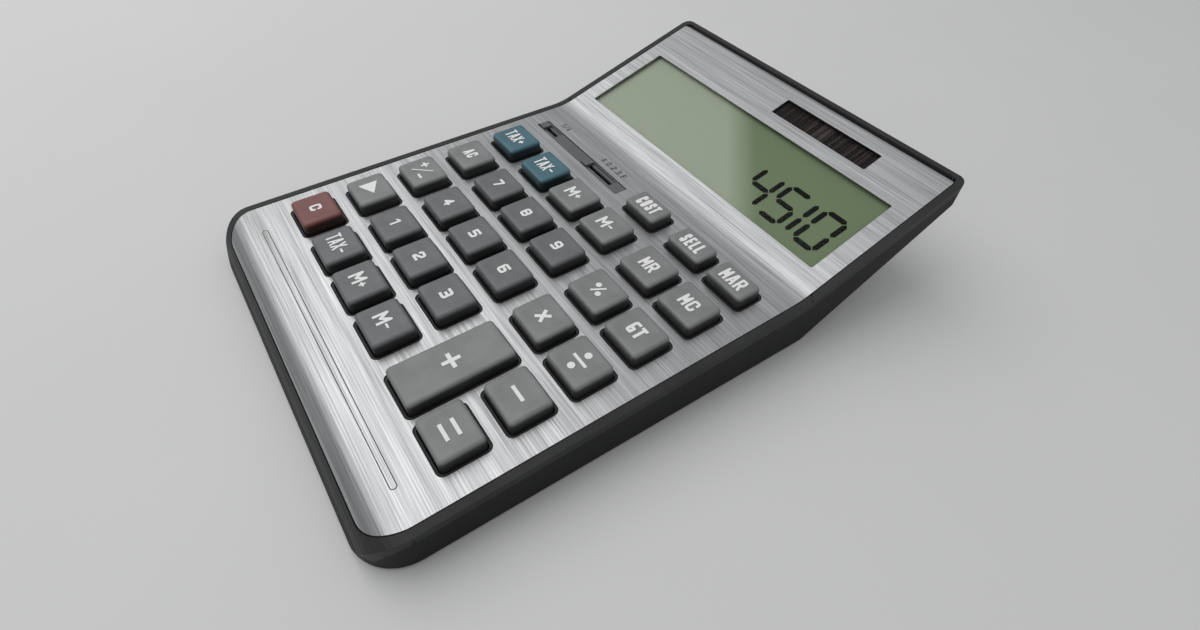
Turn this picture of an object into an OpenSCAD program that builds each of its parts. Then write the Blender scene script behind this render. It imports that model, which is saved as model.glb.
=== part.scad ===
// Bent-slab calculator: a flat keypad at the front and a raised display panel behind it.
// The plate's top face at the bend line is the construction origin. Keypad places are (x, y) from
// there, display places are (x, s) with s measured up the panel, and depths run down from the plate.

/* [Face plate] */
// Width of the face plate
plate_w = 120; // [118:1:124]
// Sheet thickness
plate_t = 0.6; // [0.5:0.1:0.7]
// Flat keypad, from the bend line to where the front edge starts to roll down
keypad_len = 114; // [113:1:116]
// Radius of the rolled front edge
nose_r = 10.5; // [9.5:0.5:11]
// Turn of the rolled front edge, degrees
nose_turn = 49; // [45:1:50]
// Display panel, from the bend line to its rolled rear edge
panel_len = 57.6; // [56:0.2:59]
// Radius of the rolled rear edge
tail_r = 3.5; // [3.2:0.1:4]
// Turn of the rolled rear edge, degrees
tail_turn = 40; // [30:1:45]
// Angle of the display panel to the keypad
display_tilt = 16; // [15:0.5:17]
// Radius of the bend between them
bend_r = 23.5; // [20:0.5:25]

/* [Case] */
// Slope of the keypad when the calculator stands
keypad_tilt = 2.3; // [2:0.1:2.6]
// Width of the lip around the face plate
lip_w = 2.4; // [2.2:0.1:3]
// Depth of the base under the bend line
base_depth = 15.84; // [15.6:0.1:17]
// Height of the rear wall
rear_h = 6.8; // [6.6:0.1:7.4]
// Wall and floor thickness
wall_t = 1.8; // [1.6:0.1:1.9]
// Thickness of the deck under the face plate
deck_t = 1.8; // [1.7:0.1:1.9]
// How far the rubber feet stand out
foot_h = 1; // [0.8:0.1:1.4]

/* [Keys] */
// Width of a key
key_w = 13.4; // [13:0.1:13.6]
// Depth of a key from front to back
key_d = 11.6; // [11:0.1:11.8]
// Depth of the small keys
small_key_d = 8.2; // [7.6:0.1:8.4]
// Height of the keys above the face plate
key_h = 3.8; // [3.4:0.1:4.2]
// Travel of a key
key_travel = 1.5; // [1.2:0.1:1.6]
// Pitch of the rows
row_pitch = 17.05; // [17:0.05:17.2]
// Clearance between a key and its collar
key_gap = 0.3; // [0.25:0.05:0.35]
// Margin between a key and the edge of its hole in the face plate
hole_margin = 1; // [0.9:0.05:1]

/* [Display] */
// Width of the display window
lcd_w = 108; // [104:1:109]
// Depth of the display window up the panel
lcd_d = 31.2; // [30:0.2:31.4]
// Width of the solar strip
solar_w = 39; // [36:1:40]
// Depth of the solar strip up the panel
solar_d = 7.6; // [7:0.2:7.8]

/* [Slide switches] */
// Travel of the rounding switch
rounding_travel = 6.6; // [5:0.2:7]
// Travel of the decimal switch
decimal_travel = 12.5; // [10:0.5:13]

/* [Hidden] */
$fn = 64;
eps = 0.01;

// keys: column and row places, then name, column, row and rows spanned
col_x = [-45.5, -26.3, -9.1, 8.2, 28.9, 46];
first_row_y = -96.8;
small_row_y = -13;
small_row = 6;
function row_y(row) = row == small_row ? small_row_y : first_row_y + (row - 1) * row_pitch;
KEYS = [
    ["key_clear", 1, 1, 1], ["key_front_tax_less", 2, 1, 1], ["key_front_memory_add", 3, 1, 1],
    ["key_front_memory_subtract", 4, 1, 1], ["key_add", 5, 1, 2], ["key_equals", 6, 1, 1],
    ["key_shift_right", 1, 2, 1], ["key_one", 2, 2, 1], ["key_two", 3, 2, 1],
    ["key_three", 4, 2, 1], ["key_subtract", 6, 2, 1],
    ["key_sign_change", 1, 3, 1], ["key_four", 2, 3, 1], ["key_five", 3, 3, 1],
    ["key_six", 4, 3, 1], ["key_multiply", 5, 3, 1], ["key_divide", 6, 3, 1],
    ["key_all_clear", 1, 4, 1], ["key_seven", 2, 4, 1], ["key_eight", 3, 4, 1],
    ["key_nine", 4, 4, 1], ["key_percent", 5, 4, 1], ["key_grand_total", 6, 4, 1],
    ["key_tax_add", 1, 5, 1], ["key_tax_less", 2, 5, 1], ["key_memory_add", 3, 5, 1],
    ["key_memory_subtract", 4, 5, 1], ["key_memory_recall", 5, 5, 1], ["key_memory_clear", 6, 5, 1],
    ["key_cost", 4, 6, 1], ["key_sell", 5, 6, 1], ["key_margin", 6, 6, 1],
];
DARK_KEYS = ["key_front_tax_less", "key_front_memory_add", "key_front_memory_subtract", "key_one",
    "key_two", "key_three", "key_four", "key_five", "key_six", "key_seven", "key_eight", "key_nine"];
TEAL_KEYS = ["key_tax_add", "key_tax_less"];
other_names = ["face_plate", "upper_case", "lower_case", "lcd_window", "lcd_glass", "lcd_frame",
    "lcd_ribbon", "solar_window", "solar_cell", "solar_leads", "key_mat", "circuit_board",
    "chip_cover", "board_capacitor", "chip_resistors", "slider_bezel", "rounding_slider",
    "rounding_contact", "decimal_slider", "decimal_contact", "coin_cell", "battery_contact_top",
    "battery_contact_side", "battery_door", "case_screws", "board_screws", "rubber_feet"];

function key_x(k) = col_x[k[1] - 1];
function key_y(k) = (row_y(k[2]) + row_y(k[2] + k[3] - 1)) / 2;
function key_depth(k) = k[2] == small_row ? small_key_d : key_d + (k[3] - 1) * row_pitch;
function stem_rows(k) = [for (r = [k[2] : k[2] + k[3] - 1]) row_y(r)];
function has(list, name) = len([for (n = list) if (n == name) n]) > 0;

// levels in the keypad frame, from the plate's top face down
deck_z = -plate_t - deck_t;
collar_z = -0.25;
flange_top = deck_z - 0.2;
flange_t = 0.8;
key_wall = 1.1;
key_roof_t = 1.3;
key_corner = 1.2;
key_chamfer = 0.7;
stem_r = 1.6;
tab = 0.7;
mat_z = flange_top - flange_t - key_travel - 0.9;
mat_t = 0.6;
dome_h = 1.8;
board_z = mat_z - mat_t;
board_t = 1.2;
dome_top = mat_z + dome_h;
stem_end = dome_top + 0.1;

// side view: the plate's outline at a depth below its top face, from front to back
bend_run = bend_r * tan(display_tilt / 2);
nose_c = [-keypad_len, -nose_r];
bend_c = [-bend_run, bend_r];
arc_steps = 8;
function panel(s, depth) = [s * cos(display_tilt) + depth * sin(display_tilt),
    s * sin(display_tilt) - depth * cos(display_tilt)];
function nose(depth, turn) = [for (i = [0 : arc_steps])
    let (a = turn * (1 - i / arc_steps)) nose_c + (nose_r - depth) * [-sin(a), cos(a)]];
function bend(depth) = [for (i = [0 : arc_steps])
    let (a = display_tilt * i / arc_steps) bend_c + (bend_r + depth) * [sin(a), -cos(a)]];
function tail(depth) = [for (i = [0 : arc_steps]) let (a = display_tilt - tail_turn * i / arc_steps)
    panel(panel_len, tail_r) + (tail_r - depth) * [-sin(a), cos(a)]];
function sheet_line(depth, turn) = concat(nose(depth, turn), bend(depth), tail(depth));
function case_line(depth) = concat(nose(depth, case_turn), bend(depth), [panel(case_len, depth)]);
function reversed(points) = [for (i = [len(points) - 1 : -1 : 0]) points[i]];

// outline of the case
case_turn = 70;
case_len = panel_len + 4.2;
case_w = plate_w + 2 * lip_w;
case_front = -keypad_len - nose_r - 0.7;
kink_y = 2.4;
rear_lean = 0.8;
rear_top = panel(case_len, 0);
rear_foot = rear_top - [rear_lean, rear_h];
rear_slope = (rear_foot[1] + base_depth) / (rear_foot[0] - kink_y);
function base_z(y) = -base_depth - tan(keypad_tilt) * (y - kink_y);
front_foot = [case_front, base_z(case_front)];
outer_line = concat([front_foot], case_line(0), [rear_foot, [kink_y, -base_depth]]);
case_corner = 12;
case_tail_corner = 3;
plate_corner = 9.6;
plate_tail_corner = 2;
plate_front = -keypad_len - nose_r * sin(nose_turn);
plate_rear = (panel(panel_len, tail_r) + tail_r * [sin(tail_turn - display_tilt), 0])[0];
plate_gap = 0.25;
cavity_w = case_w - 2 * wall_t;
cavity_front = case_front + 3.2;
cavity_rear = rear_top[0] - rear_lean - wall_t;
cavity_corner = 10;
tall = 60;

// standing position: the base is level, and the bounding box is centred on the origin
front_reach = -case_front * cos(keypad_tilt) + base_z(case_front) * sin(keypad_tilt);
rear_reach = rear_top[0] * cos(keypad_tilt) - rear_top[1] * sin(keypad_tilt);
bend_y = (front_reach - rear_reach) / 2;
bend_z = foot_h + base_depth * cos(keypad_tilt) - kink_y * sin(keypad_tilt);
base_kink = bend_y + kink_y * cos(keypad_tilt) + base_depth * sin(keypad_tilt);

module on_keypad() {
    translate([0, bend_y, bend_z]) rotate([keypad_tilt, 0, 0]) children();
}

module on_display() {
    on_keypad() rotate([display_tilt, 0, 0]) children();
}

// a side view outline, extruded across the calculator
module across(w) {
    rotate([90, 0, 90]) translate([0, 0, -w / 2]) linear_extrude(w) children();
}

module rounded(w, d, r) {
    square([w - 2 * r, d], center = true);
    square([w, d - 2 * r], center = true);
    for (x = [-1, 1], y = [-1, 1]) translate([x * (w / 2 - r), y * (d / 2 - r)]) circle(r);
}

// a plan outline with its own corner radii at the front and at the rear
module plan(w, front, rear, front_r, rear_r) {
    translate([-w / 2, front + front_r]) square([w, rear - front - front_r - rear_r]);
    translate([-w / 2 + front_r, front]) square([w - 2 * front_r, front_r + eps]);
    translate([-w / 2 + rear_r, rear - rear_r - eps]) square([w - 2 * rear_r, rear_r + eps]);
    for (x = [-1, 1]) {
        translate([x * (w / 2 - front_r), front + front_r]) circle(front_r);
        translate([x * (w / 2 - rear_r), rear - rear_r]) circle(rear_r);
    }
}

module upright() {
    translate([0, 0, -tall / 2]) linear_extrude(tall + 20) children();
}

module slab(w, d, low, high, r = 1) {
    translate([0, 0, low]) linear_extrude(high - low) rounded(w, d, r);
}

module box(w, d, low, high) {
    translate([-w / 2, -d / 2, low]) cube([w, d, high - low]);
}

// ---- fasteners and their places ----
case_screw_places = [[-40, -112], [40, -112], [-45, 1], [45, 1]];
case_screw_head_z = [-11.1, -11.1, -15.5, -15.5];
screw_head_r = 2.9;
screw_head_h = 1;
screw_r = 1.45;
screw_len = 6;
post_r = 3.2;
post_foot = [-8.3, -8.3, -11, -11];
board_post_x = [-35.9, 18.5];
board_post_y = [-88.3, -54.2, -19.9];
board_post_r = 1.8;

// ---- slide switches: tracks in the bezel ----
switch_y = -13.14;
bezel_x = -29.8;
bezel_w = 47.8;
bezel_d = 4.4;
bezel_top = -0.3;
bezel_foot = -1.6;
track_z = -0.8;
knob_w = 3;
knob_d = 3.2;
knob_top = 0.2;
knob_end = 1.6;
rounding_track = [bezel_x - bezel_w / 2, rounding_travel + 2 * knob_end];
decimal_track = [-26.6, decimal_travel + 2 * knob_end];
function knob_x(track) = track[0] + knob_end;

module over_track(track, d, low, high, extra) {
    translate([track[0] - extra, switch_y - d / 2, low])
        cube([track[1] + 2 * extra, d, high - low]);
}

// ---- battery bay, in standing coordinates ----
bay_y = base_kink - 22;
cell_r = 10;
cell_h = 3.2;
cell_z = foot_h + 1.9;
pocket_r = cell_r + 0.5;
bay_half = 15;
bay_front = bay_y - 13;
bay_roof = foot_h + 5.4;
door_half = 12;
tongue = 1.4;
door_t = 1.7;
door_gap = 0.3;
groove_low = 1;
groove_high = 1.8;
door_front = bay_front + 1.5;
door_rear = base_kink - 0.4;

// ---- pieces of the case ----
module face_plate() {
    color("silver") on_keypad() difference() {
        intersection() {
            upright() plan(plate_w, plate_front, plate_rear, plate_corner, plate_tail_corner);
            across(plate_w) polygon(concat(sheet_line(0, nose_turn),
                reversed(sheet_line(plate_t, nose_turn))));
        }
        for (k = KEYS) translate([key_x(k), key_y(k), 0])
            slab(key_w + 2 * hole_margin, key_depth(k) + 2 * hole_margin, -2, 2, 1.8);
        translate([bezel_x, switch_y, 0]) slab(bezel_w + 0.4, bezel_d + 0.4, -2, 2, 0.5);
        rotate([display_tilt, 0, 0]) {
            translate([0, lcd_s, 0]) slab(lcd_w, lcd_d, -2, 2, 0.4);
            translate([solar_x, solar_s, 0]) slab(solar_w, solar_d, -2, 2, 0.4);
        }
    }
}

lcd_s = 25.2;
solar_x = 19.4;
solar_s = 49.9;
window_margin = 1;
seat_margin = 1.2;
ledge_z = -1.6;
solar_ledge_z = -1.4;

module case_slab() {
    intersection() {
        upright() plan(case_w, case_front, rear_top[0], case_corner, case_tail_corner);
        across(case_w) polygon(outer_line);
        across(case_w) polygon(concat(
            [[case_front - 5, nose(-deck_z, case_turn)[0][1]], [case_front - 5, 5]],
            [[case_front, 30], [80, 60], panel(case_len + 20, -deck_z)],
            reversed(case_line(-deck_z))));
    }
}

module plate_recess() {
    intersection() {
        upright() plan(plate_w + 2 * plate_gap, plate_front - plate_gap, plate_rear + plate_gap,
            plate_corner + plate_gap, plate_tail_corner + plate_gap);
        across(case_w) polygon(concat(sheet_line(plate_t + 0.03, nose_turn + 7), [
            [plate_rear + 3, tail(plate_t)[arc_steps][1] - 1],
            [plate_rear + 3, tall],
            [plate_front - 3, tall / 2]]));
    }
}

module locating_rim() {
    outer_in = wall_t + 0.15;
    inner_in = outer_in + 1;
    intersection() {
        difference() {
            upright() plan(case_w - 2 * outer_in, cavity_front + 0.15, cavity_rear - 0.15, 9.8, 1.3);
            upright() plan(case_w - 2 * inner_in, cavity_front + 1.15, cavity_rear - 1.15, 8.8, 0.8);
        }
        across(case_w) polygon(concat(case_line(-deck_z - eps), reversed(case_line(-deck_z + 1.6))));
    }
}

module key_openings() {
    for (k = KEYS) translate([key_x(k), key_y(k), 0])
        slab(key_w + 2 * key_gap, key_depth(k) + 2 * key_gap, -5, 2, 1.3);
}

module upper_case() {
    color("#202122") on_keypad() difference() {
        union() {
            difference() {
                case_slab();
                plate_recess();
            }
            locating_rim();
            for (k = KEYS) translate([key_x(k), key_y(k), 0])
                slab(key_w + 2 * hole_margin - 0.2, key_depth(k) + 2 * hole_margin - 0.2,
                    -plate_t - 0.2, collar_z, 1.7);
            for (x = board_post_x, y = board_post_y) translate([x, y, board_z])
                cylinder(r = board_post_r, h = -board_z + deck_z + eps);
            for (i = [0 : 3]) translate([case_screw_places[i][0], case_screw_places[i][1], post_foot[i]])
                cylinder(r = post_r, h = deck_z - post_foot[i] + 0.3);
        }
        key_openings();
        for (x = board_post_x, y = board_post_y) translate([x, y, board_z - 1])
            cylinder(r = 1.05, h = 4.6);
        for (i = [0 : 3]) translate([case_screw_places[i][0], case_screw_places[i][1], post_foot[i] - 1])
            cylinder(r = 1.5, h = 6.2);
        translate([bezel_x, switch_y, 0]) slab(bezel_w + 0.4, bezel_d + 0.4, bezel_foot, 2, 0.5);
        over_track([rounding_track[0] + 0.5, rounding_track[1] - 1], 2, -4, 0, 0);
        over_track([decimal_track[0] + 0.5, decimal_track[1] - 1], 2, -4, 0, 0);
        rotate([display_tilt, 0, 0]) {
            translate([0, lcd_s, 0]) {
                slab(lcd_w + 2 * seat_margin, lcd_d + 2 * seat_margin, ledge_z, 2, 1);
                slab(lcd_w - 0.4, lcd_d - 0.4, -4, 2, 0.5);
            }
            translate([solar_x, solar_s, 0]) {
                slab(solar_w + 2 * seat_margin, solar_d + 2 * seat_margin, solar_ledge_z, 2, 0.8);
                slab(solar_w + 1, solar_d + 1, -4, 2, 0.5);
            }
        }
    }
}

module tub() {
    floor_rise = wall_t / cos(keypad_tilt);
    slope_rise = wall_t / cos(atan(rear_slope));
    inner_kink = kink_y + (floor_rise - slope_rise) / (rear_slope + tan(keypad_tilt));
    far = 80;
    difference() {
        intersection() {
            upright() plan(case_w, case_front, rear_top[0], case_corner, case_tail_corner);
            across(case_w) polygon(outer_line);
            across(case_w) polygon(concat(
                [[case_front - 5, -30], [case_front - 5, nose(-deck_z, case_turn)[0][1]]],
                case_line(-deck_z), [panel(case_len + 20, -deck_z), [80, -30]]));
        }
        intersection() {
            upright() plan(cavity_w, cavity_front, cavity_rear, cavity_corner, 1.5);
            across(case_w) polygon([
                [-150, base_z(-150) + floor_rise],
                [inner_kink, base_z(inner_kink) + floor_rise],
                [far, -base_depth + rear_slope * (far - kink_y) + slope_rise],
                [far, 70], [-150, 70]]);
        }
    }
}

module lower_case() {
    color("#1b1c1d") difference() {
        union() {
            on_keypad() {
                tub();
                for (i = [0 : 3]) {
                    foot = base_z(case_screw_places[i][1]) + 0.8;
                    translate([case_screw_places[i][0], case_screw_places[i][1], foot])
                        cylinder(r = post_r, h = post_foot[i] - 0.1 - foot);
                }
            }
            battery_bay();
        }
        on_keypad() for (i = [0 : 3])
            translate([case_screw_places[i][0], case_screw_places[i][1], case_screw_head_z[i]]) {
                cylinder(r = 1.7, h = 12);
                translate([0, 0, -3]) cylinder(r = screw_head_r + 0.2, h = 3 + screw_head_h + 0.05);
            }
        for (p = foot_places) translate([p[0], p[1], -1])
            cylinder(r = foot_r + 0.1, h = 1 + foot_h + foot_set);
        battery_openings();
    }
}

module battery_bay() {
    translate([-bay_half, bay_front, foot_h + 0.4])
        cube([2 * bay_half, 26, bay_roof + 0.8 - foot_h - 0.4]);
    translate([-bay_half, bay_y + 10, foot_h + 0.4])
        cube([2 * bay_half, base_kink + 2 - bay_y - 10, 2.8]);
}

module battery_openings() {
    below = 3;
    behind = 12;
    translate([0, bay_y, foot_h + 1]) cylinder(r = pocket_r, h = bay_roof - foot_h - 1);
    translate([-door_half - door_gap, door_front - door_gap, foot_h - below])
        cube([2 * (door_half + door_gap), door_rear - door_front + behind, groove_high + below]);
    translate([-door_half - tongue - door_gap, door_front - door_gap, foot_h + groove_low])
        cube([2 * (door_half + tongue + door_gap), door_rear - door_front + behind,
            groove_high - groove_low]);
    translate([-cell_r - 0.6, bay_y - 2.8, foot_h + 1]) cube([1, 5.6, 8]);
    translate([-1.8, bay_y + 7.3, foot_h + 1]) cube([3.6, 0.8, 8]);
}

foot_r = 4.5;
foot_set = 0.5;
foot_places = [for (x = [-48, 48], y = [bend_y - 100, bend_y - 8]) [x, y]];

module rubber_feet() {
    color("#2b2b2b") for (p = foot_places) translate([p[0], p[1], 0])
        cylinder(r = foot_r, h = foot_h + foot_set);
}

module case_screws() {
    color("#8d9094") on_keypad() for (i = [0 : 3])
        translate([case_screw_places[i][0], case_screw_places[i][1], case_screw_head_z[i]]) {
            difference() {
                cylinder(r = screw_head_r, h = screw_head_h);
                box(3.6, 0.7, -1, 0.5);
                box(0.7, 3.6, -1, 0.5);
            }
            translate([0, 0, screw_head_h - eps]) cylinder(r = screw_r, h = screw_len);
        }
}

// ---- display ----
module lcd_window() {
    color("#dfe6e2", 0.4) on_display() translate([0, lcd_s, 0])
        slab(lcd_w + 2 * window_margin, lcd_d + 2 * window_margin, ledge_z, -plate_t, 1);
}

module lcd_glass() {
    color("#8f9a86") on_display() translate([0, lcd_s, 0]) {
        slab(lcd_w - 1, lcd_d - 1, -2.5, ledge_z - 0.05, 0.5);
        box(112, 36, -4.7, -2.45);
    }
}

lcd_frame_foot = -5.6;

module lcd_frame() {
    color("#cfd0cc") on_display() translate([0, lcd_s, 0]) difference() {
        box(116, 40, lcd_frame_foot, deck_z);
        box(112.4, 36.4, -4.8, 0);
        box(100, 26, -8, 0);
        translate([0, -19.5, 0]) box(61, 15, -8, -4.6);
    }
}

// thin strips seen from the side: points along the top edge, thickness below it
module strip(points, t, w) {
    across(w) polygon(concat(points, [for (p = reversed(points)) p - [0, t]]));
}

module lcd_ribbon() {
    color("#b06a2c") on_keypad() strip([[-7, board_z + 0.25], [-3.5, board_z + 0.25],
        panel(4.5, 4.9), panel(9, 4.72), panel(13, 4.72)], 0.22, 58);
}

module solar_window() {
    color("#c8cdd0", 0.4) on_display() translate([solar_x, solar_s, 0])
        slab(solar_w + 2 * window_margin, solar_d + 2 * window_margin, solar_ledge_z, -plate_t, 0.8);
}

module solar_cell() {
    color("#2a1112") on_display() translate([solar_x, solar_s, 0])
        box(solar_w + 0.6, solar_d + 0.6, -2.5, solar_ledge_z);
}

module solar_leads() {
    lead_t = 0.5;
    on_board = board_z + lead_t + 0.05;
    color("#a03030") on_keypad() for (x = [34, 37]) translate([x, 0, 0])
        strip([[-5, on_board], [-3.6, on_board], panel(4, 5.8), panel(46.2, 5.8), panel(48.6, 2.55),
            panel(49.6, 2.55)], lead_t, 0.9);
}

// ---- keyboard and electronics ----
module key_mat() {
    color("#6f7377") on_keypad() {
        difference() {
            translate([-54.5, -105, board_z]) cube([109, 97.5, mat_z - board_z]);
            translate([-56, -18.3, board_z - 1]) cube([53, 20, 5]);
            for (x = board_post_x, y = board_post_y) translate([x, y, board_z - 1])
                cylinder(r = board_post_r + 0.4, h = 5);
        }
        for (k = KEYS, y = stem_rows(k)) translate([key_x(k), y, mat_z - eps])
            cylinder(r1 = k[2] == small_row ? 3.6 : 4.2, r2 = 2.4, h = dome_h);
    }
}

module circuit_board() {
    color("#2f6b45") on_keypad() difference() {
        translate([-55.5, -106, board_z - board_t]) cube([111, 103, board_t]);
        for (x = board_post_x, y = board_post_y) translate([x, y, board_z - 3])
            cylinder(r = 1.15, h = 6);
    }
}

module chip_cover() {
    color("#141414") on_keypad() translate([-10, -62, board_z - board_t]) intersection() {
        translate([0, 0, 20.4 - 1.2]) sphere(r = 20.4, $fn = 96);
        translate([0, 0, -1.3]) cylinder(r = 6.9, h = 1.3);
    }
}

module board_capacitor() {
    color("#30343c") on_keypad() translate([-38, -32, board_z - board_t - 2.1]) {
        rotate([0, 90, 0]) cylinder(r = 2, h = 7);
        for (y = [-0.8, 0.8]) translate([6.9, y - 0.25, -0.25]) cube([2, 0.5, 0.5]);
        for (y = [-0.8, 0.8]) translate([8.4, y - 0.25, -0.25]) cube([0.5, 0.5, 2.3]);
    }
}

module chip_resistors() {
    color("#1f1f22") on_keypad() for (i = [0 : 5])
        translate([4 + 4 * i, -70, board_z - board_t]) box(2, 1.2, -0.5, 0);
}

module board_screws() {
    color("#9a9da1") on_keypad() for (x = board_post_x, y = board_post_y)
        translate([x, y, board_z - board_t]) {
            difference() {
                translate([0, 0, -1]) cylinder(r = 1.8, h = 1);
                box(2.4, 0.5, -2, -0.6);
            }
            cylinder(r = 1, h = board_t + 3);
        }
}

// ---- slide switches ----
module slider_bezel() {
    color("#4a4c4e") on_keypad() difference() {
        translate([bezel_x, switch_y, 0]) slab(bezel_w, bezel_d, bezel_foot, bezel_top, 0.4);
        for (track = [rounding_track, decimal_track]) {
            over_track(track, knob_d + 0.4, track_z, 1, 0.1);
            over_track([track[0] + 0.5, track[1] - 1], 1.4, -3, 1, 0);
        }
    }
}

module knob(track) {
    on_keypad() translate([knob_x(track), switch_y, 0]) {
        box(knob_w, knob_d, track_z + 0.1, knob_top);
        box(2, 1, deck_z - 0.6, track_z + 0.2);
        box(5, 4.2, deck_z - 1.1, deck_z - 0.3);
    }
}

module wiper(track) {
    leaf = 0.25;
    on_keypad() translate([knob_x(track), switch_y, deck_z - 1.1]) {
        box(4.6, 3.4, -leaf, 0);
        for (x = [-1, 1]) translate([x * (2.3 - leaf / 2), 0, 0]) box(leaf, 1.2, board_z - deck_z + 1.2, 0);
    }
}

module rounding_slider() {
    color("#5a5c5e") knob(rounding_track);
}

module rounding_contact() {
    color("#c9a25a") wiper(rounding_track);
}

module decimal_slider() {
    color("#5a5c5e") knob(decimal_track);
}

module decimal_contact() {
    color("#c9a25a") wiper(decimal_track);
}

// ---- battery ----
module coin_cell() {
    color("#c3c6c9") translate([0, bay_y, cell_z]) {
        cylinder(r = cell_r, h = cell_h - 0.5);
        cylinder(r = cell_r - 1.2, h = cell_h);
    }
}

module battery_contact_top() {
    color("#b9bcc0") translate([0, bay_y, 0]) {
        box(6, 14, cell_z + cell_h + 0.03, cell_z + cell_h + 0.25);
        translate([0, 7.7, 0]) box(3, 0.25, cell_z + cell_h + 0.03, bay_roof + 1.6);
        translate([0, 7.3, 0]) box(3, 1, cell_z + cell_h + 0.03, cell_z + cell_h + 0.25);
    }
}

module battery_contact_side() {
    color("#b9bcc0") translate([-cell_r - 0.3, bay_y, 0]) box(0.25, 5, cell_z, bay_roof + 1.5);
}

module battery_door() {
    door_len = door_rear - door_front;
    color("#1d1e1f") difference() {
        union() {
            translate([-door_half, door_front, foot_h]) cube([2 * door_half, door_len, door_t]);
            translate([-door_half - tongue, door_front, foot_h + groove_low + 0.1])
                cube([2 * (door_half + tongue), 24, groove_high - groove_low - 0.2]);
        }
        for (i = [0 : 3]) translate([-6, door_rear - 9 + 1.8 * i, foot_h - eps]) cube([12, 0.9, 0.4]);
    }
}

// ---- keys ----
module chamfered(w, d, low, high, c) {
    intersection() {
        slab(w, d, low, high, key_corner);
        across(w) polygon([[-d / 2, low], [-d / 2, high - c], [-d / 2 + c, high],
            [d / 2 - c, high], [d / 2, high - c], [d / 2, low]]);
        rotate([0, 0, 90]) across(d) polygon([[-w / 2, low], [-w / 2, high - c], [-w / 2 + c, high],
            [w / 2 - c, high], [w / 2, high - c], [w / 2, low]]);
    }
}

module key(k) {
    d = key_depth(k);
    roof = key_h - key_roof_t;
    on_keypad() translate([key_x(k), key_y(k), 0]) {
        difference() {
            union() {
                chamfered(key_w, d, flange_top - flange_t, key_h, key_chamfer);
                box(key_w + 2 * tab, d - 3, flange_top - flange_t, flange_top);
            }
            box(key_w - 2 * key_wall, d - 2 * key_wall, -10, roof);
        }
        for (y = stem_rows(k)) translate([0, y - key_y(k), stem_end])
            cylinder(r = stem_r, h = roof - stem_end + 0.2);
    }
}

function key_colour(name) = name == "key_clear" ? "#7a5450"
    : has(TEAL_KEYS, name) ? "#4f6b74"
    : has(DARK_KEYS, name) ? "#66686a" : "#7e8080";

face_plate();
upper_case();
lower_case();
lcd_window();
lcd_glass();
lcd_frame();
lcd_ribbon();
solar_window();
solar_cell();
solar_leads();
key_mat();
circuit_board();
chip_cover();
board_capacitor();
chip_resistors();
slider_bezel();
rounding_slider();
rounding_contact();
decimal_slider();
decimal_contact();
coin_cell();
battery_contact_top();
battery_contact_side();
battery_door();
case_screws();
board_screws();
rubber_feet();
for (k = KEYS) color(key_colour(k[0])) key(k);
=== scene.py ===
import math

import bmesh
import bpy
from mathutils import Matrix, Vector


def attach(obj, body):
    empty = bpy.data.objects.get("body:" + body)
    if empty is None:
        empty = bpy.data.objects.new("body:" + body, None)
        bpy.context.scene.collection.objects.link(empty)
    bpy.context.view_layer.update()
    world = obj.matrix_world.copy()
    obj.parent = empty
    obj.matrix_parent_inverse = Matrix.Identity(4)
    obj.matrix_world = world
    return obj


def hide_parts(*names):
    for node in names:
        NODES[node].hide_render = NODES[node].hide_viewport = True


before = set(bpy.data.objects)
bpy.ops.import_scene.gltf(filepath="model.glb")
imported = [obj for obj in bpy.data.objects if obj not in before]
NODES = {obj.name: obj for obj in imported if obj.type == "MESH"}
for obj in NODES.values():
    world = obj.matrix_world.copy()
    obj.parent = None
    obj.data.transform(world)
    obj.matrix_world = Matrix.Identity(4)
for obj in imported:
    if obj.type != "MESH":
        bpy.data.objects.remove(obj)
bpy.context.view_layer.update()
MM = 0.001

# ---- layout, in mm: the same as the CAD part's ----
KEYPAD_TILT = math.radians(2.3)
DISPLAY_TILT = math.radians(16)
BEND_Y, BEND_Z = 32.9975, 16.7309
KEYPAD_LEN, NOSE_R, NOSE_TURN = 114.0, 10.5, math.radians(49)
PANEL_LEN, TAIL_R, TAIL_TURN = 57.6, 3.5, math.radians(40)
BEND_R = 23.5
BEND_RUN = BEND_R * math.tan(DISPLAY_TILT / 2)
BEND_ARC = BEND_R * DISPLAY_TILT
PLATE_W, PLATE_T, PLATE_CORNER, PLATE_TAIL_CORNER = 120.0, 0.6, 9.6, 2.0
COLS = [-45.5, -26.3, -9.1, 8.2, 28.9, 46.0]
ROW_PITCH, FIRST_ROW, SMALL_ROW = 17.05, -96.8, -13.0
KEY_W, KEY_D, SMALL_D, KEY_H, KEY_GAP = 13.4, 11.6, 8.2, 3.8, 1.0
# openings in the plate: centre x, centre y, width, depth; the first two lie on the display panel
LCD = (0.0, 25.2, 108.0, 31.2)
SOLAR = (19.4, 49.9, 39.0, 7.6)
BEZEL = (-29.8, -13.14, 48.2, 4.8)

KEYPAD = Matrix.Translation((0, BEND_Y * MM, BEND_Z * MM)) @ Matrix.Rotation(KEYPAD_TILT, 4, "X")
DISPLAY = KEYPAD @ Matrix.Rotation(DISPLAY_TILT, 4, "X")

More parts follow.
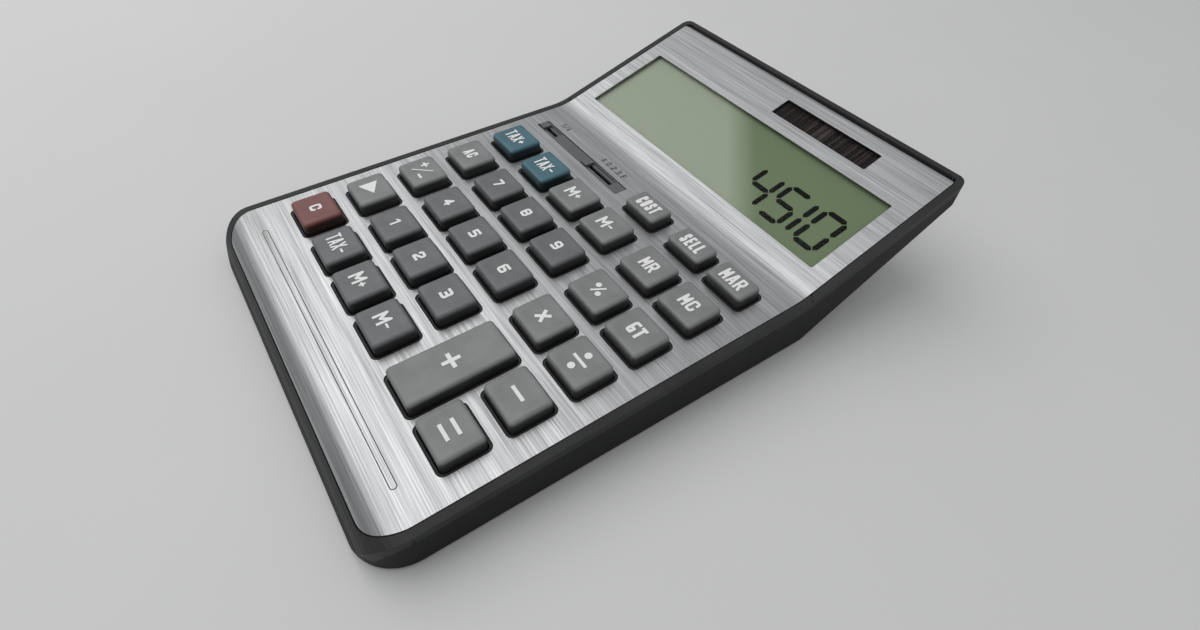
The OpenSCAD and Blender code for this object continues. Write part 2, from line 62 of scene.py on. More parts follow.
# name, column, row, rows spanned, legend, colour
KEYS = [
    ("key_clear", 1, 1, 1, "C", "maroon"), ("key_front_tax_less", 2, 1, 1, "TAX-", "dark"),
    ("key_front_memory_add", 3, 1, 1, "M+", "dark"), ("key_front_memory_subtract", 4, 1, 1, "M-", "dark"),
    ("key_add", 5, 1, 2, "+", "grey"), ("key_equals", 6, 1, 1, "=", "grey"),
    ("key_shift_right", 1, 2, 1, ">", "grey"), ("key_one", 2, 2, 1, "1", "dark"),
    ("key_two", 3, 2, 1, "2", "dark"), ("key_three", 4, 2, 1, "3", "dark"),
    ("key_subtract", 6, 2, 1, "-", "grey"),
    ("key_sign_change", 1, 3, 1, "sign", "grey"), ("key_four", 2, 3, 1, "4", "dark"),
    ("key_five", 3, 3, 1, "5", "dark"), ("key_six", 4, 3, 1, "6", "dark"),
    ("key_multiply", 5, 3, 1, "X", "grey"), ("key_divide", 6, 3, 1, "divide", "grey"),
    ("key_all_clear", 1, 4, 1, "AC", "grey"), ("key_seven", 2, 4, 1, "7", "dark"),
    ("key_eight", 3, 4, 1, "8", "dark"), ("key_nine", 4, 4, 1, "9", "dark"),
    ("key_percent", 5, 4, 1, "%", "grey"), ("key_grand_total", 6, 4, 1, "GT", "grey"),
    ("key_tax_add", 1, 5, 1, "TAX+", "teal"), ("key_tax_less", 2, 5, 1, "TAX-", "teal"),
    ("key_memory_add", 3, 5, 1, "M+", "grey"), ("key_memory_subtract", 4, 5, 1, "M-", "grey"),
    ("key_memory_recall", 5, 5, 1, "MR", "grey"), ("key_memory_clear", 6, 5, 1, "MC", "grey"),
    ("key_cost", 4, 6, 1, "COST", "grey"), ("key_sell", 5, 6, 1, "SELL", "grey"),
    ("key_margin", 6, 6, 1, "MAR", "grey"),
]


def row_y(row):
    """Middle of a row of keys, in the keypad frame."""
    return SMALL_ROW if row == 6 else FIRST_ROW + (row - 1) * ROW_PITCH


def key_place(col, row, span):
    """A key's centre in the keypad frame and its depth from front to rear."""
    depth = SMALL_D if row == 6 else KEY_D + (span - 1) * ROW_PITCH
    return COLS[col - 1], (row_y(row) + row_y(row + span - 1)) / 2, depth


# ---- materials ----
def new_material(name):
    mat = bpy.data.materials.new(name)
    mat.use_nodes = True
    tree = mat.node_tree
    return mat, tree, tree.nodes["Principled BSDF"]


def add(tree, kind, **values):
    node = tree.nodes.new(kind)
    for key, value in values.items():
        if key in node.inputs:
            node.inputs[key].default_value = value
        else:
            setattr(node, key, value)
    return node


def coords(tree, scale=(1, 1, 1)):
    where = add(tree, "ShaderNodeTexCoord")
    mapping = add(tree, "ShaderNodeMapping")
    mapping.inputs["Scale"].default_value = scale
    tree.links.new(where.outputs["Object"], mapping.inputs["Vector"])
    return mapping.outputs["Vector"]


def noise(tree, vector, scale, detail=3.0, rough=0.55):
    node = add(tree, "ShaderNodeTexNoise", Scale=scale, Detail=detail, Roughness=rough)
    tree.links.new(vector, node.inputs["Vector"])
    return node.outputs["Fac"]


def ramp(tree, fac, low, high, start=0.0, end=1.0):
    """fac from start to end, carried onto low to high."""
    node = add(tree, "ShaderNodeMapRange")
    node.inputs["From Min"].default_value = start
    node.inputs["From Max"].default_value = end
    node.inputs["To Min"].default_value = low
    node.inputs["To Max"].default_value = high
    tree.links.new(fac, node.inputs["Value"])
    return node.outputs["Result"]


def mix_colour(tree, fac, a, b):
    node = tree.nodes.new("ShaderNodeMix")
    node.data_type = "RGBA"
    tree.links.new(fac, node.inputs["Factor"])
    for socket, value in (("A", a), ("B", b)):
        target = [s for s in node.inputs if s.name == socket and s.type == "RGBA"][0]
        if isinstance(value, tuple):
            target.default_value = (*value, 1)
        else:
            tree.links.new(value, target)
    return [s for s in node.outputs if s.type == "RGBA"][0]


def combine(tree, operation, a, b):
    node = add(tree, "ShaderNodeMath", operation=operation)
    tree.links.new(a, node.inputs[0])
    tree.links.new(b, node.inputs[1])
    return node.outputs[0]


def bump(tree, shader, height, strength, distance):
    """Fine relief, distance in mm."""
    node = add(tree, "ShaderNodeBump", Strength=strength, Distance=distance * MM)
    tree.links.new(height, node.inputs["Height"])
    tree.links.new(node.outputs["Normal"], shader.inputs["Normal"])


def plastic(name, colour, rough=0.45, grain=6000, depth=0.25, spread=0.12, **extra):
    """Moulded plastic or rubber: fine grain, speckle, faint colour drift and uneven gloss."""
    mat, tree, shader = new_material(name)
    vector = coords(tree)
    drift = noise(tree, vector, 60, 4)
    fine = noise(tree, vector, grain, 2)
    speckle = combine(tree, "ADD", ramp(tree, drift, 0, 0.5, 0.35, 0.65), ramp(tree, fine, 0, 0.5, 0.3, 0.7))
    dark = tuple(c * (1 - spread) for c in colour)
    light = tuple(c * (1 + spread) for c in colour)
    tree.links.new(mix_colour(tree, speckle, dark, light), shader.inputs["Base Color"])
    tree.links.new(ramp(tree, fine, rough - 0.06, rough + 0.08), shader.inputs["Roughness"])
    bump(tree, shader, fine, depth, 0.04)
    for key, value in extra.items():
        shader.inputs[key].default_value = value
    return mat


def metal(name, colour, rough, stretch, grain=900):
    """Metal with fine lines along the stretched direction."""
    mat, tree, shader = new_material(name)
    fine = noise(tree, coords(tree, stretch), grain, 3, 0.6)
    dark = tuple(c * 0.82 for c in colour)
    tint = mix_colour(tree, ramp(tree, fine, 0, 1, 0.3, 0.7), dark, colour)
    tree.links.new(tint, shader.inputs["Base Color"])
    shader.inputs["Metallic"].default_value = 1
    tree.links.new(ramp(tree, fine, rough - 0.06, rough + 0.1), shader.inputs["Roughness"])
    bump(tree, shader, fine, 0.15, 0.03)
    return mat


def brushed_plate():
    """Brushed sheet: broad and fine streaks across the calculator."""
    mat, tree, shader = new_material("brushed_plate")
    broad = noise(tree, coords(tree, (0.018, 1, 1)), 420, 4, 0.65)
    fine = noise(tree, coords(tree, (0.012, 1, 1)), 2600, 3, 0.6)
    streak = combine(tree, "ADD", ramp(tree, broad, 0, 0.36, 0.3, 0.7), ramp(tree, fine, 0, 0.64, 0.3, 0.7))
    tint = mix_colour(tree, streak, (0.24, 0.242, 0.243), (0.64, 0.642, 0.645))
    tree.links.new(tint, shader.inputs["Base Color"])
    shader.inputs["Metallic"].default_value = 1
    tree.links.new(ramp(tree, streak, 0.45, 0.31), shader.inputs["Roughness"])
    shader.inputs["Anisotropic"].default_value = 0.5
    bump(tree, shader, streak, 0.22, 0.05)
    return mat


def key_plastic(name, colour):
    """Key cap: satin top, skirt darkened by painted shade, fine grain."""
    mat, tree, shader = new_material(name)
    where = add(tree, "ShaderNodeTexCoord")
    split = add(tree, "ShaderNodeSeparateXYZ")
    tree.links.new(where.outputs["Object"], split.inputs[0])
    # painted shade: below the rounded edge the cap darkens, the top keeps the key's colour
    height = ramp(tree, split.outputs["Z"], 0, 1, (KEY_H - 1.5) * MM, (KEY_H - 0.45) * MM)
    vector = coords(tree)
    drift = noise(tree, vector, 160, 4)
    top = mix_colour(tree, ramp(tree, drift, 0, 1, 0.35, 0.65),
                     tuple(c * 0.9 for c in colour), tuple(c * 1.1 for c in colour))
    # painted shade on the skirt: the key's colour darkened to 12 percent
    skirt = tuple(c * 0.12 for c in colour)
    tree.links.new(mix_colour(tree, height, skirt, top), shader.inputs["Base Color"])
    fine = noise(tree, vector, 5200, 2)
    tree.links.new(ramp(tree, fine, 0.36, 0.5), shader.inputs["Roughness"])
    bump(tree, shader, fine, 0.3, 0.04)
    return mat


def lcd_material():
    """Reflective display, in the display panel's frame: green-grey with a painted reflection, a soft diagonal
    change from lighter to darker.
    """
    mat, tree, shader = new_material("lcd")
    where = add(tree, "ShaderNodeTexCoord")
    across = add(tree, "ShaderNodeVectorMath", operation="DOT_PRODUCT")
    across.inputs[1].default_value = (0.667, 0.745, 0.0)
    tree.links.new(where.outputs["Object"], across.inputs[0])
    # painted reflection: 0 on the lit side of a soft diagonal band, 1 beyond it
    shade = ramp(tree, across.outputs["Value"], 0, 1, 19.6 * MM, 28.8 * MM)
    grain = noise(tree, coords(tree), 900, 3)
    light = mix_colour(tree, grain, (0.41, 0.47, 0.35), (0.45, 0.51, 0.39))
    dark = mix_colour(tree, grain, (0.19, 0.255, 0.14), (0.215, 0.28, 0.16))
    # lighter colour where the painted reflection falls, darker colour beyond it
    tree.links.new(mix_colour(tree, shade, light, dark), shader.inputs["Base Color"])
    shader.inputs["Roughness"].default_value = 0.7
    shader.inputs["Specular IOR Level"].default_value = 0.1
    return mat


def solar_material():
    """Solar strip: near-black cells with fine uneven lines across the strip."""
    mat, tree, shader = new_material("solar")
    lines = noise(tree, coords(tree, (1, 0.01, 0.01)), 900, 2, 0.7)
    drift = noise(tree, coords(tree, (1, 0.02, 0.02)), 90, 2)
    strength = ramp(tree, drift, 0.35, 1, 0.4, 0.6)
    line = combine(tree, "MULTIPLY", ramp(tree, lines, 0, 1, 0.51, 0.56), strength)
    tint = mix_colour(tree, line, (0.007, 0.0018, 0.0018), (0.08, 0.06, 0.06))
    tree.links.new(tint, shader.inputs["Base Color"])
    shader.inputs["Roughness"].default_value = 0.35
    shader.inputs["Specular IOR Level"].default_value = 0.12
    return mat


def lens_material():
    """Clear window: lets the light through and keeps a polished sheen."""
    mat, tree, shader = new_material("clear_lens")
    smudge = noise(tree, coords(tree), 35, 4)
    tree.links.new(ramp(tree, smudge, 0.08, 0.14), shader.inputs["Roughness"])
    shader.inputs["Base Color"].default_value = (0.02, 0.022, 0.02, 1)
    shader.inputs["Alpha"].default_value = 0.12
    shader.inputs["IOR"].default_value = 1.45
    return mat


def floor_material():
    """Plain pale studio floor."""
    mat, tree, shader = new_material("floor")
    drift = noise(tree, coords(tree), 8, 3)
    tint = mix_colour(tree, drift, (0.62, 0.62, 0.61), (0.66, 0.66, 0.65))
    tree.links.new(tint, shader.inputs["Base Color"])
    shader.inputs["Roughness"].default_value = 0.7
    return mat


PLATE = brushed_plate()
CASE = plastic("case_plastic", (0.022, 0.0225, 0.023), 0.5, 2600, 0.6, 0.35, **{"Specular IOR Level": 0.25})
BASE = plastic("base_plastic", (0.01, 0.0105, 0.011), 0.55, 2600, 0.6, 0.3, **{"Specular IOR Level": 0.18})
KEY_MATERIALS = {
    "grey": key_plastic("grey_key", (0.2, 0.206, 0.204)),
    "dark": key_plastic("dark_key", (0.125, 0.13, 0.135)),
    "maroon": key_plastic("maroon_key", (0.17, 0.052, 0.045)),
    "teal": key_plastic("teal_key", (0.045, 0.13, 0.165)),
}
LEGEND = plastic("legend_ink", (0.8, 0.8, 0.78), 0.5, 3000, 0.1, 0.04)
# dark ink for the switch marks, also used as painted shade for the front groove
DARK_INK_AND_SHADE = plastic("dark_ink_and_shade", (0.05, 0.05, 0.05), 0.5, 3000, 0.1, 0.1)
SEGMENT = plastic("segment", (0.005, 0.006, 0.004), 0.7, 3000, 0.05, 0.1, **{"Specular IOR Level": 0.05})
BEZEL_PLASTIC = plastic("bezel_plastic", (0.1, 0.102, 0.104), 0.42, 3600, 0.3)
GREY_RUBBER = plastic("grey_rubber", (0.15, 0.16, 0.17), 0.7, 2000, 0.3)
FOOT_RUBBER = plastic("foot_rubber", (0.03, 0.03, 0.03), 0.75, 2400, 0.6)
WHITE_PLASTIC = plastic("white_plastic", (0.55, 0.55, 0.53), 0.5, 2500, 0.2)
LAMINATE = plastic("board_laminate", (0.03, 0.12, 0.06), 0.35, 1200, 0.2, 0.2)
RESIN = plastic("chip_resin", (0.012, 0.012, 0.013), 0.25, 1500, 0.2)
SLEEVE = plastic("capacitor_sleeve", (0.02, 0.022, 0.04), 0.3, 1500, 0.1)
FILM = plastic("flex_film", (0.32, 0.13, 0.035), 0.3, 1500, 0.1)
LEAD = plastic("lead_sheath", (0.32, 0.03, 0.03), 0.4, 1500, 0.1)
STEEL = metal("steel", (0.58, 0.59, 0.6), 0.32, (0.05, 1, 1))
BRASS = metal("brass", (0.66, 0.46, 0.2), 0.3, (0.05, 1, 1))

FINISH = {
    "upper_case": CASE, "lower_case": BASE, "battery_door": BASE, "lcd_window": lens_material(),
    "lcd_glass": lcd_material(), "lcd_frame": WHITE_PLASTIC, "lcd_ribbon": FILM,
    "solar_cell": solar_material(), "solar_leads": LEAD, "key_mat": GREY_RUBBER,
    "circuit_board": LAMINATE, "chip_cover": RESIN, "board_capacitor": SLEEVE,
    "chip_resistors": RESIN, "slider_bezel": BEZEL_PLASTIC, "rounding_slider": BEZEL_PLASTIC,
    "decimal_slider": BEZEL_PLASTIC, "rounding_contact": BRASS, "decimal_contact": BRASS,
    "coin_cell": STEEL, "battery_contact_top": STEEL, "battery_contact_side": STEEL,
    "case_screws": STEEL, "board_screws": STEEL, "rubber_feet": FOOT_RUBBER,
}
FINISH["solar_window"] = FINISH["lcd_window"]
SOFT_EDGES = {"upper_case": 0.22, "lower_case": 0.3, "battery_door": 0.2, "slider_bezel": 0.08,
              "rounding_slider": 0.2, "decimal_slider": 0.2, "rubber_feet": 0.3, "case_screws": 0.1}


def soften(obj, width):
    """Small rounded edges on a CAD piece, width in mm; 0 leaves its edges sharp."""
    weld = obj.modifiers.new("weld", "WELD")
    weld.merge_threshold = 0.002 * MM
    if width:
        bevel = obj.modifiers.new("edges", "BEVEL")
        bevel.width = width * MM
        bevel.segments = 3
        bevel.limit_method = "ANGLE"
        bevel.angle_limit = math.radians(38)
        obj.modifiers.new("normals", "WEIGHTED_NORMAL").keep_sharp = True


for name, mat in FINISH.items():
    obj = NODES[name]
    obj.data.materials.clear()
    obj.data.materials.append(mat)
    soften(obj, SOFT_EDGES.get(name, 0))


# ---- mesh helpers ----
def make_object(name, verts, faces, materials, matrix=None, face_materials=None, smooth=35):
    mesh = bpy.data.meshes.new(name)
    mesh.from_pydata([tuple(v) for v in verts], [], faces)
    for mat in materials:
        mesh.materials.append(mat)
    if face_materials:
        for poly, index in zip(mesh.polygons, face_materials):
            poly.material_index = index
    mesh.validate()
    obj = bpy.data.objects.new(name, mesh)
    bpy.context.scene.collection.objects.link(obj)
    if matrix is not None:
        obj.matrix_world = matrix
    for poly in mesh.polygons:
        poly.use_smooth = True
    mesh.set_sharp_from_angle(angle=math.radians(smooth))
    return obj


def arc(cx, cy, r, start, steps):
    """Quarter circle, anticlockwise from start degrees."""
    angles = [math.radians(start + 90 * i / steps) for i in range(steps + 1)]
    return [(cx + r * math.cos(a), cy + r * math.sin(a)) for a in angles]


def rounded(w, d, r, steps=6):
    """Outline of a rectangle with rounded corners, centred."""
    points = []
    for cx, cy, start in ((1, -1, -90), (1, 1, 0), (-1, 1, 90), (-1, -1, 180)):
        points += arc(cx * (w / 2 - r), cy * (d / 2 - r), r, start, steps)
    return points


def ring(outer, inner):
    """Band between two outlines that have the same number of points."""
    points = outer + inner
    n = len(outer)
    return points, [(i, (i + 1) % n, n + (i + 1) % n, n + i) for i in range(n)]


def shifted(outline, x, y):
    return [(px + x, py + y) for px, py in outline]


# squared lettering: pen strokes on a unit cell
LETTERS = {
    "0": [[(0.15, 0), (0, 0.12), (0, 0.88), (0.15, 1), (0.85, 1), (1, 0.88), (1, 0.12), (0.85, 0),
           (0.15, 0)]],
    "2": [[(0, 0.78), (0, 0.9), (0.15, 1), (0.85, 1), (1, 0.9), (1, 0.6), (0, 0.2), (0, 0), (1, 0)]],
    "3": [[(0, 1), (0.85, 1), (1, 0.9), (1, 0.6), (0.85, 0.5), (0.3, 0.5)],
          [(0.8, 0.5), (1, 0.4), (1, 0.1), (0.85, 0), (0, 0)]],
    "4": [[(0.75, 0), (0.75, 1), (0, 0.3), (1, 0.3)]],
    "5": [[(1, 1), (0, 1), (0, 0.54), (0.85, 0.54), (1, 0.44), (1, 0.1), (0.85, 0), (0, 0)]],
    "6": [[(1, 1), (0.15, 1), (0, 0.88), (0, 0.12), (0.15, 0), (0.85, 0), (1, 0.12), (1, 0.44), (0.85, 0.54),
           (0, 0.54)]],
    "7": [[(0, 1), (1, 1), (0.5, 0)]],
    "8": [[(0.15, 0), (0, 0.12), (0, 0.88), (0.15, 1), (0.85, 1), (1, 0.88), (1, 0.12), (0.85, 0),
           (0.15, 0)], [(0, 0.5), (1, 0.5)]],
    "9": [[(0, 0), (0.85, 0), (1, 0.12), (1, 0.88), (0.85, 1), (0.15, 1), (0, 0.88), (0, 0.56), (0.15, 0.46),
           (1, 0.46)]],
    "A": [[(0, 0), (0.4, 1), (0.6, 1), (1, 0)], [(0.25, 0.28), (0.75, 0.28)]],
    "C": [[(1, 0.74), (1, 0.88), (0.85, 1), (0.15, 1), (0, 0.88), (0, 0.12), (0.15, 0), (0.85, 0), (1, 0.12),
           (1, 0.26)]],
    "E": [[(1, 1), (0, 1), (0, 0), (1, 0)], [(0, 0.5), (0.85, 0.5)]],
    "F": [[(1, 1), (0, 1), (0, 0)], [(0, 0.5), (0.85, 0.5)]],
    "G": [[(1, 1), (0.15, 1), (0, 0.88), (0, 0.12), (0.15, 0), (1, 0), (1, 0.42), (0.55, 0.42)]],
    "L": [[(0, 1), (0, 0), (1, 0)]],
    "M": [[(0, 0), (0, 1), (0.5, 0.35), (1, 1), (1, 0)]],
    "R": [[(0, 0), (0, 1), (0.85, 1), (1, 0.88), (1, 0.58), (0.85, 0.46), (0, 0.46)],
          [(0.5, 0.46), (1, 0)]],
    "S": [[(1, 0.8), (1, 0.9), (0.85, 1), (0.15, 1), (0, 0.9), (0, 0.62), (0.15, 0.52), (0.85, 0.48),
           (1, 0.38), (1, 0.1), (0.85, 0), (0.15, 0), (0, 0.1), (0, 0.2)]],
    "T": [[(0, 1), (1, 1)], [(0.5, 1), (0.5, 0)]],
    "X": [[(0, 0), (1, 1)], [(0, 1), (1, 0)]],
    "/": [[(0, 0), (1, 1)]],
    " ": [],
}
LETTERS["O"] = LETTERS["0"]


def glyphs(text, height, width, pen):
    """Flat squared lettering, centred, in mm: (points, faces)."""
    gap = 0.55 * pen
    cell = (width - pen - (len(text) - 1) * (gap + pen)) / len(text)
    parts = []
    for i, char in enumerate(text):
        x0 = -width / 2 + pen / 2 + i * (cell + gap + pen)
        for line in LETTERS[char]:
            placed = [Vector((x0 + u * cell, (v - 0.5) * (height - pen))) for u, v in line]
            closed = line[0] == line[-1]
            last = len(placed) - 2
            for k in range(last + 1):
                p, q = placed[k], placed[k + 1]
                d = (q - p).normalized() * pen / 2
                start = p if closed or k > 0 else p - d
                end = q if closed or k < last else q + d
                parts.append(stroke(start.x, start.y, end.x, end.y, pen))
                if k > 0 or closed:
                    parts.append(disc(p.x, p.y, pen / 2, 8))
    return shapes(*parts)


def shapes(*outlines):
    """Outlines as one set of points and faces."""
    points, faces = [], []
    for outline in outlines:
        faces.append(tuple(range(len(points), len(points) + len(outline))))
        points += outline
    return points, faces


def joined(parts):
    """Several sets of points and faces as one."""
    points, faces = [], []
    for part_points, part_faces in parts:
        faces += [tuple(i + len(points) for i in f) for f in part_faces]
        points = points + part_points
    return points, faces


def bar(cx, cy, w, h):
    return [(cx + x * w / 2, cy + y * h / 2) for x, y in ((-1, -1), (1, -1), (1, 1), (-1, 1))]


def disc(cx, cy, r, steps=20):
    return [(cx + r * math.cos(2 * math.pi * i / steps), cy + r * math.sin(2 * math.pi * i / steps))
            for i in range(steps)]


def stroke(x0, y0, x1, y1, w):
    d = Vector((x1 - x0, y1 - y0)).normalized() * w / 2
    return [(x0 + d.y, y0 - d.x), (x1 + d.y, y1 - d.x), (x1 - d.y, y1 + d.x), (x0 - d.y, y0 + d.x)]


def legend(text):
    """A key's legend in mm, centred on its top."""
    if text == "+":
        return shapes(bar(0, 0, 1.1, 4.9), bar(-1.5, 0, 1.9, 1.1), bar(1.5, 0, 1.9, 1.1))
    if text == "-":
        return shapes(bar(0, 0, 5.1, 0.95))
    if text == "=":
        return shapes(bar(0, 1.5, 4.9, 0.95), bar(0, -1.5, 4.9, 0.95))
    if text == "divide":
        return shapes(bar(0, 0, 5.2, 0.85), disc(0, 2.5, 1), disc(0, -2.5, 1))
    if text == ">":
        return shapes([(-2.8, -3), (2.9, 0), (-2.8, 3)])
    if text == "sign":
        return shapes(stroke(-2.3, -2.7, 2.3, 2.7, 0.45), bar(-2.3, 1.9, 2.6, 0.75),
                      bar(-2.3, 2.75, 0.75, 0.95), bar(-2.3, 1.05, 0.75, 0.95), bar(2.4, -2, 2.5, 0.75))
    if text in ("TAX+", "TAX-", "M+", "M-"):
        word, mark = text[:-1], text[-1]
        w = 6.4 if word == "TAX" else 3.6
        points, faces = glyphs(word, 4.4, w, 0.62 if word == "TAX" else 0.86)
        points = shifted(points, -1.1, 0)
        x = w / 2 + 0.15
        marks = [bar(x, 0, 1.7, 0.6)]
        if mark == "+":
            marks += [bar(x, 0.6, 0.6, 0.6), bar(x, -0.6, 0.6, 0.6)]
        return joined([(points, faces), shapes(*marks)])
    if text == "%":
        return shapes(stroke(-1.1, -1.9, 1.1, 1.9, 0.62), disc(-1.25, 1.05, 0.85), disc(1.25, -1.05, 0.85))
    if text == "1":
        return shapes(bar(0.3, 0, 0.75, 3.4), [(-0.07, 1.7), (-1, 1.15), (-1, 0.5), (-0.07, 1)])
    height, width, pen = {
        "X": (3.7, 3, 1), "AC": (4, 4.3, 0.8), "GT": (4.3, 4.7, 0.9),
        "MR": (4.3, 5.4, 0.8), "MC": (4.3, 5.4, 0.8), "COST": (4.6, 8, 0.82), "SELL": (4.6, 7.6, 0.86),
        "MAR": (4.6, 7.8, 0.8),
    }.get(text, (3.5, 2.7, 0.8))
    return glyphs(text, height, width, pen)


def layered(points, faces, lift, step=0.0008):
    """Points in metres, each face a hair over the one before so that overlapping strokes stay apart."""
    height = [lift] * len(points)
    for i, face in enumerate(faces):
        for k in face:
            height[k] = lift + step * i
    return [(x * MM, y * MM, z * MM) for (x, y), z in zip(points, height)]


# ---- keys ----
EDGE_R, EDGE_STEPS = 0.95, 7
SKIRT_FOOT, DRAFT = -2.5, 0.02
KEY_CORNER, CORNER_TAPER, LEAST_CORNER = 1.2, 0.35, 0.35
LEGEND_Z = KEY_H - 0.02
# the dished top's rings: depth below the rim, inset
DISH = ((0.03, 1.8), (0.08, 2.9), (0.11, 3.8))


def key_levels():
    """Heights and insets of a key's rings: upright skirt, rounded edge, slightly dished top."""
    levels = [(SKIRT_FOOT, 0.0), (KEY_H - EDGE_R - 0.1, DRAFT)]
    for i in range(1, EDGE_STEPS + 1):
        a = math.radians(90 * i / EDGE_STEPS)
        levels.append((KEY_H - EDGE_R * (1 - math.sin(a)), DRAFT + EDGE_R * (1 - math.cos(a))))
    return levels + [(KEY_H - drop, inset) for drop, inset in DISH]


def key_cap(name, col, row, span, text, colour):
    """Rounded cap with its legend in place of a plain CAD key."""
    x, y, depth = key_place(col, row, span)
    levels = key_levels()
    verts, faces = [], []
    for z, inset in levels:
        w, d = KEY_W - 2 * inset, depth - 2 * inset
        r = max(KEY_CORNER - CORNER_TAPER * inset, LEAST_CORNER)
        verts += [(px * MM, py * MM, z * MM) for px, py in rounded(w, d, min(r, d / 2 - 0.01, w / 2 - 0.01))]
    n = len(verts) // len(levels)
    for k in range(len(levels) - 1):
        for i in range(n):
            j = (i + 1) % n
            faces.append((k * n + i, k * n + j, (k + 1) * n + j, (k + 1) * n + i))
    faces.append(tuple(reversed(range(n))))
    faces.append(tuple(range((len(levels) - 1) * n, len(levels) * n)))
    indices = [0] * len(faces)
    points, glyph_faces = legend(text)
    start = len(verts)
    verts += layered(points, glyph_faces, LEGEND_Z)
    faces += [tuple(start + i for i in f) for f in glyph_faces]
    indices += [1] * len(glyph_faces)
    obj = make_object(name + "_cap", verts, faces, [KEY_MATERIALS[colour], LEGEND],
                      KEYPAD @ Matrix.Translation((x * MM, y * MM, 0)), indices, 50)
    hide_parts(name)
    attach(obj, name)


for spec in KEYS:
    key_cap(*spec)


# ---- face plate: a flat pattern with its holes, then rolled and bent ----
def flat_to_keypad(x, v, n):
    """Flat pattern (x, v) with height n over the face, to the keypad frame."""
    if v < -KEYPAD_LEN:
        a = (-KEYPAD_LEN - v) / NOSE_R
        return x, -KEYPAD_LEN - (NOSE_R + n) * math.sin(a), -NOSE_R + (NOSE_R + n) * math.cos(a)
    if v < -BEND_RUN:
        return x, v, n
    if v < -BEND_RUN + BEND_ARC:
        a = (v + BEND_RUN) / BEND_R
        return x, -BEND_RUN + (BEND_R - n) * math.sin(a), BEND_R - (BEND_R - n) * math.cos(a)
    s = v - BEND_ARC + 2 * BEND_RUN
    if s > PANEL_LEN:
        a = (s - PANEL_LEN) / TAIL_R
        s, n = PANEL_LEN + (TAIL_R + n) * math.sin(a), -TAIL_R + (TAIL_R + n) * math.cos(a)
    c, t = math.cos(DISPLAY_TILT), math.sin(DISPLAY_TILT)
    return x, s * c - n * t, s * t + n * c


def panel_v(s):
    """Place along the flat pattern of a point s up the display panel from the bend."""
    return s + BEND_ARC - 2 * BEND_RUN


def plan_to_flat(y):
    """Place along the flat pattern of a point seen at y from straight above the keypad."""
    if y < -KEYPAD_LEN:
        return -KEYPAD_LEN - NOSE_R * math.asin(min((-KEYPAD_LEN - y) / NOSE_R, math.sin(NOSE_TURN)))
    return y


def plate_outline():
    """Outline of the flat pattern: wide corners at the front, small ones at the rear."""
    front = -KEYPAD_LEN - NOSE_R * math.sin(NOSE_TURN)
    rear = panel_v(PANEL_LEN) + TAIL_R * TAIL_TURN
    half, points = PLATE_W / 2, []
    for side, start in ((-1, 180), (1, 270)):
        corner = arc(side * (half - PLATE_CORNER), front + PLATE_CORNER, PLATE_CORNER, start, 12)
        points += [(x, plan_to_flat(y)) for x, y in corner]
    for side, start in ((1, 0), (-1, 90)):
        x, y = side * (half - PLATE_TAIL_CORNER), rear - PLATE_TAIL_CORNER
        points += arc(x, y, PLATE_TAIL_CORNER, start, 6)
    return points


def plate_holes(key_corner=1.8, opening_corner=0.45):
    holes = []
    for _, *place, _, _ in KEYS:
        x, y, depth = key_place(*place)
        holes.append(shifted(rounded(KEY_W + 2 * KEY_GAP, depth + 2 * KEY_GAP, key_corner), x, y))
    for x, y, w, d in (BEZEL, (LCD[0], panel_v(LCD[1]), LCD[2], LCD[3]),
                       (SOLAR[0], panel_v(SOLAR[1]), SOLAR[2], SOLAR[3])):
        holes.append(shifted(rounded(w, d, opening_corner, 3), x, y))
    return holes


def flat_sheet(outlines, thickness, edge):
    """Mesh of a flat sheet with rounded edges, in mm, from closed outlines."""
    curve = bpy.data.curves.new("sheet", "CURVE")
    curve.dimensions = "2D"
    curve.fill_mode = "BOTH"
    curve.extrude = thickness / 2 - edge
    curve.bevel_depth = edge
    curve.bevel_resolution = 2
    curve.offset = -edge
    for outline in outlines:
        spline = curve.splines.new("POLY")
        spline.points.add(len(outline) - 1)
        for point, (x, y) in zip(spline.points, outline):
            point.co = (x, y, 0, 1)
        spline.use_cyclic_u = True
    obj = bpy.data.objects.new("sheet", curve)
    bpy.context.scene.collection.objects.link(obj)
    deps = bpy.context.evaluated_depsgraph_get()
    mesh = bpy.data.meshes.new_from_object(obj.evaluated_get(deps))
    bpy.data.objects.remove(obj)
    bpy.data.curves.remove(curve)
    return mesh


def bend_cuts(nose=16, bend=14, tail=10):
    """Places along the flat pattern where faces are cut so that they can bend, from the steps in each arc."""
    cuts = [-KEYPAD_LEN - NOSE_R * NOSE_TURN * i / nose for i in range(nose)]
    cuts += [-BEND_RUN + BEND_ARC * i / bend for i in range(bend + 1)]
    cuts += [panel_v(PANEL_LEN) + TAIL_R * TAIL_TURN * i / tail for i in range(tail)]
    return cuts


